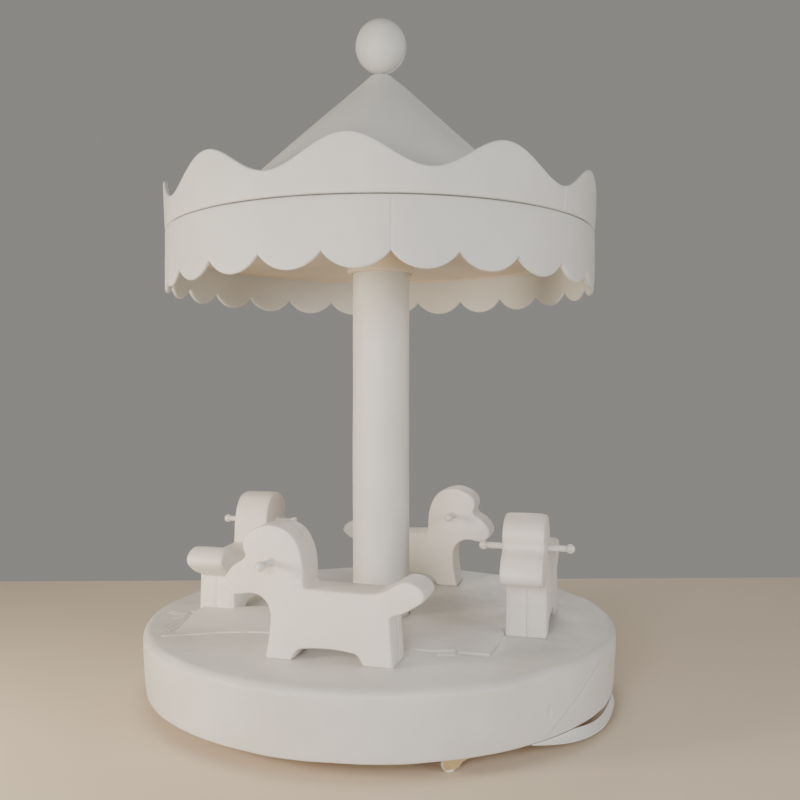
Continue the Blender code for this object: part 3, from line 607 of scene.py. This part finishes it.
# ---------------------------------------------------------------- column and its collar
def make_column():
    low, high = foot_of("column_cover"), top_of("column_cover")
    r = COLUMN_RADIUS
    seam, wide = pi, 0.022           # one seam, down the back
    outer = resampled([(r, high), (r, low)], 0.011)
    profile = outer + [(r - 0.003, low), (r - 0.003, high)]

    def relief(a, p):
        skin = (np.hypot(p[:, 0], p[:, 1]) > r - 0.001).astype(float)
        move = 0.0006 * unevenness(p * np.array((1, 1, 0.35)), 0.09, 11)
        foot = np.exp(-(p[:, 2] - DECK_TOP) / 0.05) * (p[:, 2] > DECK_TOP - 0.01)
        move += 0.0008 * foot * np.cos(a * 9 + 0.7)
        move += seam_dip(a, seam, wide, 0.0022)
        return move * skin
    mesh = grid_mesh(turned(profile, angles_with(120, seams=[(seam, wide)]), relief))
    soft(finish_mesh("column_skin", mesh, VINYL), "column_cover", "column_foam", fill=0.9)

    low, high = COLLAR_LOW, top_of("ceiling_collar")
    r = COLLAR_RADIUS
    inner = COLUMN_RADIUS + 0.0008
    profile = ([(inner, high), (r, high)] + resampled([(r + 0.0005, high - 0.004), (r, low + 0.010)], 0.008)
               + arc((r - 0.0085, low + 0.0085), 0.0085, 0.0, -pi / 2, 6)[1:] + [(inner, low)])

    def collar_relief(_, p):
        skin = smoothstep(inner + 0.002, inner + 0.006, np.hypot(p[:, 0], p[:, 1]))
        return 0.0008 * unevenness(p, 0.05, 12) * skin
    mesh = grid_mesh(turned(profile, angles_with(120), collar_relief))
    # the collar takes the tan vinyl with painted warm shade
    soft(finish_mesh("collar_skin", mesh, VINYL_WARM_SHADE), "ceiling_collar", fill=0.6)


make_column()


# ---------------------------------------------------------------- canopy
def band(name, angles, low, high, flare, caps, relief):
    """A padded band: low(angle) and high(angle) are its edges, and it leans out by flare at its top."""
    half = BAND_THICK / 2
    low_cap, high_cap = caps
    shares = [i / 14 for i in range(15)]
    turns = [pi * i / 10 for i in range(1, 10)]
    columns = []
    for a in angles:
        z0, z1 = low(a), high(a)
        straight = z1 - z0 - low_cap - high_cap
        loop = [(half, z1 - high_cap - straight * share) for share in shares]
        loop += [(half * cos(turn), z0 + low_cap - low_cap * sin(turn)) for turn in turns]
        loop += [(-half, z0 + low_cap + straight * share) for share in shares]
        loop += [(-half * cos(turn), z1 - high_cap + high_cap * sin(turn)) for turn in turns]
        columns.append([(across, z, (z - z0) / (z1 - z0)) for across, z in loop])
    data = np.array(columns)
    across, z, share = (data[..., i] for i in range(3))
    middle = BAND_RADIUS + flare * share
    a = np.broadcast_to(angles[:, None], middle.shape)
    puff = 0.0012 * np.clip(np.sin(pi * np.clip(share, 0, 1)), 0, 1) ** 0.5
    r = middle + across * (1 + puff / half)
    spots = np.stack([r * np.sin(a), -r * np.cos(a), z], -1)
    r = r + relief(a.reshape(-1), spots.reshape(-1, 3)).reshape(r.shape) * across / half
    spots = np.stack([r * np.sin(a), -r * np.cos(a), z], -1)
    return finish_mesh(name, grid_mesh(spots), VINYL_BAND)


def scallop_low(angle):
    pitch = 2 * pi / SCALLOPS
    share = ((angle - SCALLOP_PHASE) / pitch) % 1.0
    chord = BAND_OUTSIDE * pitch
    depth = CUSP - TIP
    arc_radius = (chord * chord / 4 + depth * depth) / (2 * depth)
    across = (share - 0.5) * chord
    return TIP + arc_radius - max(0.0, arc_radius ** 2 - across ** 2) ** 0.5


def wave_high(angle):
    return (PEAK + VALLEY) / 2 + (PEAK - VALLEY) / 2 * cos(WAVES * (angle - WAVE_PHASE))


def make_canopy():
    # two bands with a groove between them, each with two joins
    join, wide = SCALLOP_PHASE, 0.0042
    angles = angles_with(SCALLOPS * 26, SCALLOP_PHASE, [(join, wide), (join + pi, wide)])

    def valance_relief(a, p):
        move = 0.0007 * unevenness(p, 0.14, 31) + 0.0003 * unevenness(p, 0.05, 32)
        return move + seam_dip(a, join, wide, 0.0016) + seam_dip(a, join + pi, wide, 0.0016)
    valance = band("valance_skin", angles, scallop_low, lambda a: SEAM - 0.0011, 0.0, (0.0062, 0.0054), valance_relief)
    soft(valance, "valance_band", fill=0.7)

    join, wide = radians(47.6), 0.0046
    angles = angles_with(600, WAVE_PHASE, [(join, wide), (join + pi, wide)])

    def crown_relief(a, p):
        move = 0.0007 * unevenness(p, 0.15, 33) + 0.0003 * unevenness(p, 0.05, 34)
        return move + seam_dip(a, join, wide, 0.0018) + seam_dip(a, join + pi, wide, 0.0018)
    crown = band("crown_skin", angles, lambda a: SEAM + 0.0017, wave_high, 0.006, (0.0054, 0.0062), crown_relief)
    soft(crown, "crown_band", fill=0.7)

    # cone, with a lapped seam, and a slight sag between its eight ribs
    flat_top = 0.033
    slope = (ROOF_TOP - ROOF_LOW) / (ROOF_RADIUS - flat_top)
    lap = radians(56.0)
    outer = [(0.0068, ROOF_TOP + 0.0022), (0.018, ROOF_TOP + 0.0018), (0.027, ROOF_TOP + 0.0002)]
    outer += resampled([(0.036, ROOF_TOP - 0.0040), (ROOF_RADIUS - 0.004, ROOF_LOW + 0.0022)], 0.013)
    outer += [(ROOF_RADIUS - 0.0008, ROOF_LOW - 0.0010), (ROOF_RADIUS, ROOF_LOW - 0.006),
              (ROOF_RADIUS - 0.0015, ROOF_LOW - 0.0145)]
    inner = [(ROOF_RADIUS - 0.006, ROOF_LOW - 0.0150), (0.34, ROOF_TOP - 0.0155 - (0.34 - flat_top) * slope),
             (0.040, ROOF_TOP - 0.0205), (0.0068, ROOF_TOP - 0.0120)]

    def roof_relief(a, p):
        r = np.hypot(p[:, 0], p[:, 1])
        top = p[:, 2] > ROOF_TOP - 0.0085 - (r - flat_top) * slope
        away = ((a - lap + pi) % (2 * pi) - pi) * r
        step = 0.0046 * smoothstep(0.003, -0.001, away) * np.exp(-((away + 0.001) / 0.030) ** 2)
        move = step * smoothstep(0.03, 0.10, r)
        move += 0.0013 * unevenness(p, 0.22, 41) * smoothstep(0.05, 0.2, r)
        move -= 0.0020 * (0.5 - 0.5 * np.cos(8 * (a - radians(22.5)))) * smoothstep(0.1, 0.5, r)
        return move * top
    beside = (-0.09, -0.06, -0.04, -0.025, -0.016, -0.010, -0.006, -0.003, 0.0, 0.002, 0.004, 0.007, 0.012, 0.03)
    angles = np.array(sorted([*angles_with(360), *(lap + np.array(beside))]))
    keep = [0]
    for i in range(1, len(angles)):
        if angles[i] - angles[keep[-1]] > 0.0012:
            keep.append(i)
    roof = finish_mesh("roof_skin", grid_mesh(turned(outer + inner, angles[keep], roof_relief)), VINYL)
    soft(roof, "roof_cover", fill=0.5)

    # upholstered ceiling with a piped edge
    z = CEILING
    out = BAND_RADIUS - BAND_THICK / 2 - 0.0012
    profile = [(COLUMN_RADIUS + 0.022, z - 0.0003), (COLUMN_RADIUS + 0.022, z - 0.0021)]
    profile += resampled([(COLUMN_RADIUS + 0.040, z - 0.0032), (out - 0.016, z - 0.0030)], 0.020)
    profile += arc((out - 0.0045, z - 0.0048), 0.0042, pi, 2 * pi, 8) + [(out - 0.0003, z - 0.0004)]

    def ceiling_relief(_, p):
        r = np.hypot(p[:, 0], p[:, 1])
        inside = smoothstep(0.12, 0.18, r) * smoothstep(out - 0.012, out - 0.05, r) * (p[:, 2] < z - 0.001)
        return 0.0009 * unevenness(p, 0.16, 51) * inside
    mesh = grid_mesh(turned(profile[::-1], angles_with(240), ceiling_relief))
    # the ceiling takes the tan vinyl with painted warm shade
    soft(finish_mesh("ceiling_facing", mesh, VINYL_WARM_SHADE), fill=0.4)


def make_ball():
    centre = (BALL_LOW + BALL_TOP) / 2
    tall = (BALL_TOP - BALL_LOW) / 2
    steps = 64
    profile = []
    for i in range(steps + 1):
        turn = pi / 2 - pi * i / steps
        profile.append((max(0.0, BALL_RADIUS * cos(turn)), centre + tall * sin(turn)))
    profile[0] = (0.0, profile[0][1])
    profile[-1] = (0.0, profile[-1][1])
    seams = [(radians(s) % (2 * pi), 0.035) for s in (61, 181, -59)]     # three gores, so three seams

    def relief(a, p):
        share = np.abs(p[:, 2] - centre) / tall
        move = sum(seam_dip(a, s, w, 0.0020) for s, w in seams) * (1 - share ** 6)
        return move + 0.0006 * unevenness(p, 0.05, 61) * (1 - share ** 4)
    mesh = grid_mesh(turned(profile, angles_with(144, seams=seams), relief, closed=False), wrap_v=False)
    soft(finish_mesh("finial_skin", mesh, VINYL), "finial_ball", fill=0.95)


make_canopy()
make_ball()

# ---------------------------------------------------------------- ponies
# Side view: forward of the middle and above the deck, anticlockwise from the front foot; True is a corner.
PONY_OUTLINE = [
    (0.165, 0.000, True), (0.152, 0.080, False), (0.156, 0.143, False), (0.193, 0.173, False),
    (0.262, 0.170, False), (0.2875, 0.199, False), (0.265, 0.244, False), (0.2245, 0.2735, False),
    (0.2325, 0.300, False), (0.2255, 0.330, False), (0.1945, 0.353, False), (0.150, 0.3635, False),
    (0.094, 0.345, False), (0.061, 0.285, False), (0.0535, 0.196, True), (-0.146, 0.1935, False),
    (-0.176, 0.204, False), (-0.232, 0.230, False), (-0.2815, 0.197, False), (-0.243, 0.157, False),
    (-0.1865, 0.133, True), (-0.196, 0.000, True), (-0.1145, 0.000, True), (-0.090, 0.0305, False),
    (0.066, 0.0315, False), (0.091, 0.000, True),
]
SPLIT_STRIPS = (0, 1, 2, 20)      # outline spans whose boxing strip has a seam down its middle


def pony_outline(spacing=0.0048):
    """Dense outline points, their outward normals, and whether each lies on a split strip."""
    count = len(PONY_OUTLINE)
    spots = [Vector((x, z, 0.0)) for x, z, _ in PONY_OUTLINE]
    tangents = [(spots[(i + 1) % count] - spots[i - 1]).normalized() for i in range(count)]
    points, split = [], []
    for i in range(count):
        j = (i + 1) % count
        length = (spots[j] - spots[i]).length
        leave = (spots[j] - spots[i]) / 3 if PONY_OUTLINE[i][2] else tangents[i] * length / 3
        arrive = (spots[i] - spots[j]) / 3 if PONY_OUTLINE[j][2] else -tangents[j] * length / 3
        run = interpolate_bezier(spots[i], spots[i] + leave, spots[j] + arrive, spots[j],
                                 max(3, int(round(length / spacing)) + 1))
        points += [(p.x, p.y) for p in run[:-1]]
        split += [i in SPLIT_STRIPS] * (len(run) - 1)
    p = np.array(points)
    for _ in range(3):        # ease the corners a little, but keep the feet on the deck
        eased = 0.25 * np.roll(p, 1, 0) + 0.5 * p + 0.25 * np.roll(p, -1, 0)
        p = np.where(p[:, 1:2] < 0.0005, p, eased)
        p[:, 1] = np.maximum(p[:, 1], 0.0)
    tangent = np.roll(p, -1, 0) - np.roll(p, 1, 0)
    tangent /= np.linalg.norm(tangent, axis=1)[:, None]
    normal = np.stack([tangent[:, 1], -tangent[:, 0]], 1)
    return p, normal, np.array(split)


def pony_mesh():
    """A padded pony: two side panels joined by a boxing strip, sewn along the outline."""
    outline, normal, split = pony_outline()
    closed = np.vstack([outline, outline[:1]])
    count = len(outline)
    low, high = outline.min(0), outline.max(0)
    loops = [outline]
    for depth in (0.0005, 0.0014, 0.0028, 0.0048, 0.0074, 0.0108, 0.0150):
        ring = outline - normal * depth
        loops.append(ring[distance_to_path(ring, closed) > depth * 0.93])
    step = 0.0078
    xs, ys = np.meshgrid(np.arange(low[0] + 0.003, high[0], step), np.arange(low[1] + 0.003, high[1], step))
    xs[1::2] += step / 2
    grid = np.column_stack([xs.ravel(), ys.ravel()])
    grid = grid[inside_path(grid, closed) & (distance_to_path(grid, closed) > 0.0185)]
    everything = np.vstack(loops + [grid])
    verts, _, faces, origin, _, _ = delaunay_2d_cdt(
        [Vector(v) for v in everything], [(i, (i + 1) % count) for i in range(count)], [], 1, 1e-6)
    flat = np.array([(v.x, v.y) for v in verts])
    place_of = {}
    for here, sources in enumerate(origin):
        for s in sources:
            if s < count:
                place_of[s] = here
    depth = distance_to_path(flat, closed)
    round_off = np.clip(depth / PONY_ROUNDING, 0, 1)
    height = PONY_THICK / 2 - PONY_ROUNDING + PONY_ROUNDING * np.sqrt(1 - (1 - round_off) ** 2)
    height += 0.0030 * smoothstep(0.004, 0.060, depth) - 0.0012
    hold = np.linalg.norm(flat - np.array(HANDLE), axis=1)
    height -= 0.0035 * np.exp(-(hold / 0.017) ** 2)
    sides = []
    for side in (1, -1):
        puckers = np.sin(np.arctan2(flat[:, 1] - 0.15, flat[:, 0]) * 60) * np.exp(-((depth - 0.012) / 0.008) ** 2)
        y = side * (height + 0.00025 * puckers)
        on_edge = depth < 1e-6
        y[on_edge] = side * PONY_EDGE
        sides.append(np.column_stack([flat[:, 0], y, flat[:, 1]]))
    n = len(flat)
    # pull the seam line in a little, between strip and panel
    seam_in = 0.0021
    seam_points = outline - normal * seam_in * (outline[:, 1:2] > 0.0005)
    for j in range(2):
        for i in range(count):
            sides[j][place_of[i], 0] = seam_points[i, 0]
            sides[j][place_of[i], 2] = seam_points[i, 1]
    edge = PONY_EDGE
    across = np.array([edge, edge - 0.0016, edge - 0.0040, edge - 0.011, edge - 0.022, edge - 0.034, 0.0060, 0.0016])
    across = np.concatenate([across, [0.0], -across[::-1]])
    rows = len(across)
    strip = np.zeros((count, rows, 3))
    soft_edge = np.clip((edge - np.abs(across)) / 0.0030, 0, 1)
    crown = 0.0014 * (1 - (across / edge) ** 2)
    middle = np.exp(-(across / 0.0019) ** 2) * 0.0042
    up = (outline[:, 1] > 0.0005).astype(float)
    for k in range(rows):
        out = -seam_in * (1 - soft_edge[k]) + crown[k] - middle[k] * split
        wob = 0.0004 * np.sin(np.arange(count) * 0.35) * soft_edge[k]
        move = (out + wob) * up
        strip[:, k, 0] = outline[:, 0] + normal[:, 0] * move
        strip[:, k, 1] = across[k]
        strip[:, k, 2] = np.maximum(0.0, outline[:, 1] + normal[:, 1] * move)
    vertices = np.vstack([sides[0], sides[1], strip[:, 1:-1].reshape(-1, 3)])
    first = 2 * n
    inner_rows = rows - 2

    def at(i, k):
        i %= count
        if k == 0:
            return place_of[i]
        if k == rows - 1:
            return n + place_of[i]
        return first + i * inner_rows + (k - 1)
    quads = [(at(i, k), at(i + 1, k), at(i + 1, k + 1), at(i, k + 1)) for i in range(count) for k in range(rows - 1)]
    panels = [tuple(f) for f in faces] + [tuple(n + i for i in f[::-1]) for f in faces]
    mesh = bpy.data.meshes.new("pony")
    mesh.from_pydata(vertices.tolist(), [], panels + quads)
    bm = bmesh.new()
    bm.from_mesh(mesh)
    bmesh.ops.recalc_face_normals(bm, faces=bm.faces)
    bm.to_mesh(mesh)
    bm.free()
    return mesh


def swelled(mesh, held, voxel, cap):
    """Let the cover swell over its filling: cloth under pressure, held at its seams; held(points) is 0 to 1.

    The cloth runs on an evenly remeshed copy, and its movement, at most cap, is carried back to the sewn mesh.
    """
    scene = bpy.context.scene
    frames = 20
    copy = bpy.data.objects.new("swelling", mesh.copy())
    scene.collection.objects.link(copy)
    remesh = copy.modifiers.new("even", "REMESH")
    remesh.mode = "VOXEL"
    remesh.voxel_size = voxel
    even = bpy.data.meshes.new_from_object(copy.evaluated_get(bpy.context.evaluated_depsgraph_get()))
    copy.modifiers.clear()
    copy.data = even
    rest = np.zeros(len(even.vertices) * 3)
    even.vertices.foreach_get("co", rest)
    rest = rest.reshape(-1, 3)
    group = copy.vertex_groups.new(name="seams")
    for index, weight in enumerate(held(rest)):
        if weight > 0.02:
            group.add([index], float(weight), "REPLACE")
    cloth = copy.modifiers.new("cloth", "CLOTH")
    cloth.settings.quality = 5
    cloth.settings.mass = 0.3
    cloth.settings.tension_stiffness = 40
    cloth.settings.compression_stiffness = 12
    cloth.settings.shear_stiffness = 8
    cloth.settings.bending_stiffness = 0.8
    cloth.settings.use_pressure = True
    cloth.settings.uniform_pressure_force = 4.0
    cloth.settings.effector_weights.gravity = 0.0
    cloth.settings.vertex_group_mass = "seams"
    cloth.point_cache.frame_start = 1
    cloth.point_cache.frame_end = frames
    for step in range(1, frames + 1):
        scene.frame_set(step)
    after = bpy.data.meshes.new_from_object(copy.evaluated_get(bpy.context.evaluated_depsgraph_get()))
    swollen = np.zeros(len(after.vertices) * 3)
    after.vertices.foreach_get("co", swollen)
    travel = swollen.reshape(-1, 3) - rest
    length = np.linalg.norm(travel, axis=1)
    travel *= (np.minimum(length, cap) / np.maximum(length, 1e-9))[:, None]
    scene.frame_set(1)
    bpy.data.objects.remove(copy, do_unlink=True)
    tree = KDTree(len(rest))
    for index, point in enumerate(rest):
        tree.insert(point, index)
    tree.balance()
    spots = np.zeros(len(mesh.vertices) * 3)
    mesh.vertices.foreach_get("co", spots)
    spots = spots.reshape(-1, 3)
    keep = 1 - held(spots)
    for index, point in enumerate(spots.copy()):
        near = tree.find_n(point, 5)
        weights = np.array([1 / (gap + 0.001) for _, _, gap in near])
        spots[index] += keep[index] * (weights @ travel[[n for _, n, _ in near]]) / weights.sum()
    mesh.vertices.foreach_set("co", spots.ravel())
    mesh.update()


def pony_seams(points):
    """How firmly a pony's cover is held: fully at the seams round its outline and under its feet."""
    outline, _, _ = pony_outline()
    closed = np.vstack([outline, outline[:1]])
    flat = points[:, [0, 2]]
    from_outline = distance_to_path(flat, closed)
    from_edge = np.abs(np.abs(points[:, 1]) - PONY_EDGE)
    seam = np.exp(-(np.hypot(from_outline, from_edge) / 0.0080) ** 2)
    feet = smoothstep(0.012, 0.002, points[:, 2])
    grip = np.exp(-(np.linalg.norm(flat - np.array(HANDLE), axis=1) / 0.016) ** 2)
    return np.clip(np.maximum(seam, np.maximum(feet, grip)), 0, 1)


def grip_mesh(number):
    """The cross handle: a round bar with a ball on each end."""
    profile = [(0.0, 0.142)]
    ball_at, ball = 0.128, 0.014
    for i in range(1, 13):
        turn = pi / 2 - (pi - 0.62) * i / 12
        profile.append((ball * cos(turn), ball_at + ball * sin(turn)))
    profile += [(0.0094, 0.1165), (0.0092, 0.108), (0.0092, 0.066), (0.0118, 0.0648), (0.0130, 0.0632),
                (0.0130, 0.0585), (0.0090, 0.0580)]
    full = profile + [(r, -z) for r, z in profile[::-1]]
    mesh = grid_mesh(turned(full, angles_with(28), closed=False), wrap_v=False)
    mesh.transform(pony_place(number) @ Matrix.Translation((HANDLE[0], 0, HANDLE[1])) @ Matrix.Rotation(pi / 2, 4, "X"))
    return mesh


pony_pattern = pony_mesh()
swelled(pony_pattern, pony_seams, voxel=0.006, cap=0.0045)
for number in range(4):
    label = f"pony_{number + 1}"
    mesh = pony_pattern.copy()
    spots = np.zeros(len(mesh.vertices) * 3)
    mesh.vertices.foreach_get("co", spots)
    spots = spots.reshape(-1, 3)
    slack = 0.0011 * unevenness(spots + number, 0.11, 70 + number) * (1 - pony_seams(spots))
    spots[:, 1] += np.sign(spots[:, 1]) * slack
    mesh.vertices.foreach_set("co", spots.ravel())
    mesh.transform(pony_place(number))
    pony = finish_mesh(f"{label}_skin", mesh, VINYL_PONY, merge=0.0)
    soft(pony, f"{label}_cover", f"{label}_core", fill=0.9)
    grip = finish_mesh(f"{label}_grip", grip_mesh(number), PLASTIC)
    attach(grip, "carousel")
    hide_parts(f"{label}_handle", f"{label}_knob")


# ---------------------------------------------------------------- castor wheels
def make_wheels():
    half, rim = 0.009, WHEEL_RADIUS
    profile = [(0.0034, half), (0.0065, half), (0.0072, half - 0.0006), (0.0075, half - 0.0022),
               (0.0130, half - 0.0026), (0.0142, half - 0.0004), (0.0165, half)]
    profile += arc((rim - 0.0034, half - 0.0034), 0.0034, pi / 2, 0.0, 5)
    profile += [(rim, 0.0)]
    full = profile + [(r, -z) for r, z in profile[:-1][::-1]]
    for number in range(4):
        place = (frame_at(CASTOR_PHASE + number * pi / 2, CASTOR_PATH)
                 @ Matrix.Translation((CASTOR_TRAIL, 0, rim)) @ Matrix.Rotation(pi / 2, 4, "X"))
        mesh = grid_mesh(turned(full, angles_with(40)))
        mesh.transform(place)
        wheel = finish_mesh(f"castor_tyre_{number + 1}", mesh, NYLON)
        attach(wheel, f"castor_wheel_{number + 1}")
        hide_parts(f"castor_wheel_{number + 1}")


make_wheels()


# ---------------------------------------------------------------- stage, light and camera
def make_stage():
    """A plain pale floor."""
    mesh = bpy.data.meshes.new("floor")
    mesh.from_pydata([(-3.2, -2.6, 0), (3.2, -2.6, 0), (3.2, 1.53, 0), (-3.2, 1.53, 0)], [], [(0, 1, 2, 3)])
    floor = bpy.data.objects.new("floor", mesh)
    made, _, shader = nodes_of("floor_pale")
    shader.inputs["Base Color"].default_value = (0.78, 0.66, 0.515, 1.0)
    shader.inputs["Roughness"].default_value = 0.9
    mesh.materials.append(made)
    bpy.context.scene.collection.objects.link(floor)
    floor.location.z = -0.0002


def area_light(name, place, aim, size, power, colour):
    data = bpy.data.lights.new(name, "AREA")
    data.shape = "DISK"
    data.size = size
    data.energy = power
    data.color = colour
    light = bpy.data.objects.new(name, data)
    light.location = place
    light.rotation_euler = (Vector(aim) - Vector(place)).to_track_quat("-Z", "Y").to_euler()
    bpy.context.scene.collection.objects.link(light)


def make_light_and_camera():
    area_light("key", (-1.1, -4.1, 1.5), (0.0, 0.0, 0.8), 1.8, 90, (1.0, 0.985, 0.96))
    area_light("fill", (3.0, -2.6, 1.3), (0.0, 0.1, 0.45), 1.8, 50, (1.0, 0.985, 0.96))
    area_light("warm", (-2.5, -1.3, 0.95), (0.0, 0.15, 0.42), 0.8, 54, (1.0, 0.86, 0.64))
    area_light("back", (0.8, 4.2, 2.4), (0.0, 0.0, 0.8), 2.4, 34, (1.0, 0.97, 0.92))
    world = bpy.data.worlds.new("world")
    world.use_nodes = True
    world.node_tree.nodes["Background"].inputs["Color"].default_value = (0.262, 0.254, 0.238, 1.0)
    world.node_tree.nodes["Background"].inputs["Strength"].default_value = 1.0
    bpy.context.scene.world = world
    data = bpy.data.cameras.new("camera")
    data.sensor_width = 36.0
    data.lens = 39.06
    camera = bpy.data.objects.new("camera", data)
    camera.matrix_world = (Matrix.Translation((0.0, -2.844, 0.9576)) @ Matrix.Rotation(-0.0219, 4, "Z")
                           @ Matrix.Rotation(pi / 2 - 0.0116, 4, "X"))
    bpy.context.scene.collection.objects.link(camera)
    bpy.context.scene.camera = camera


make_stage()
make_light_and_camera()
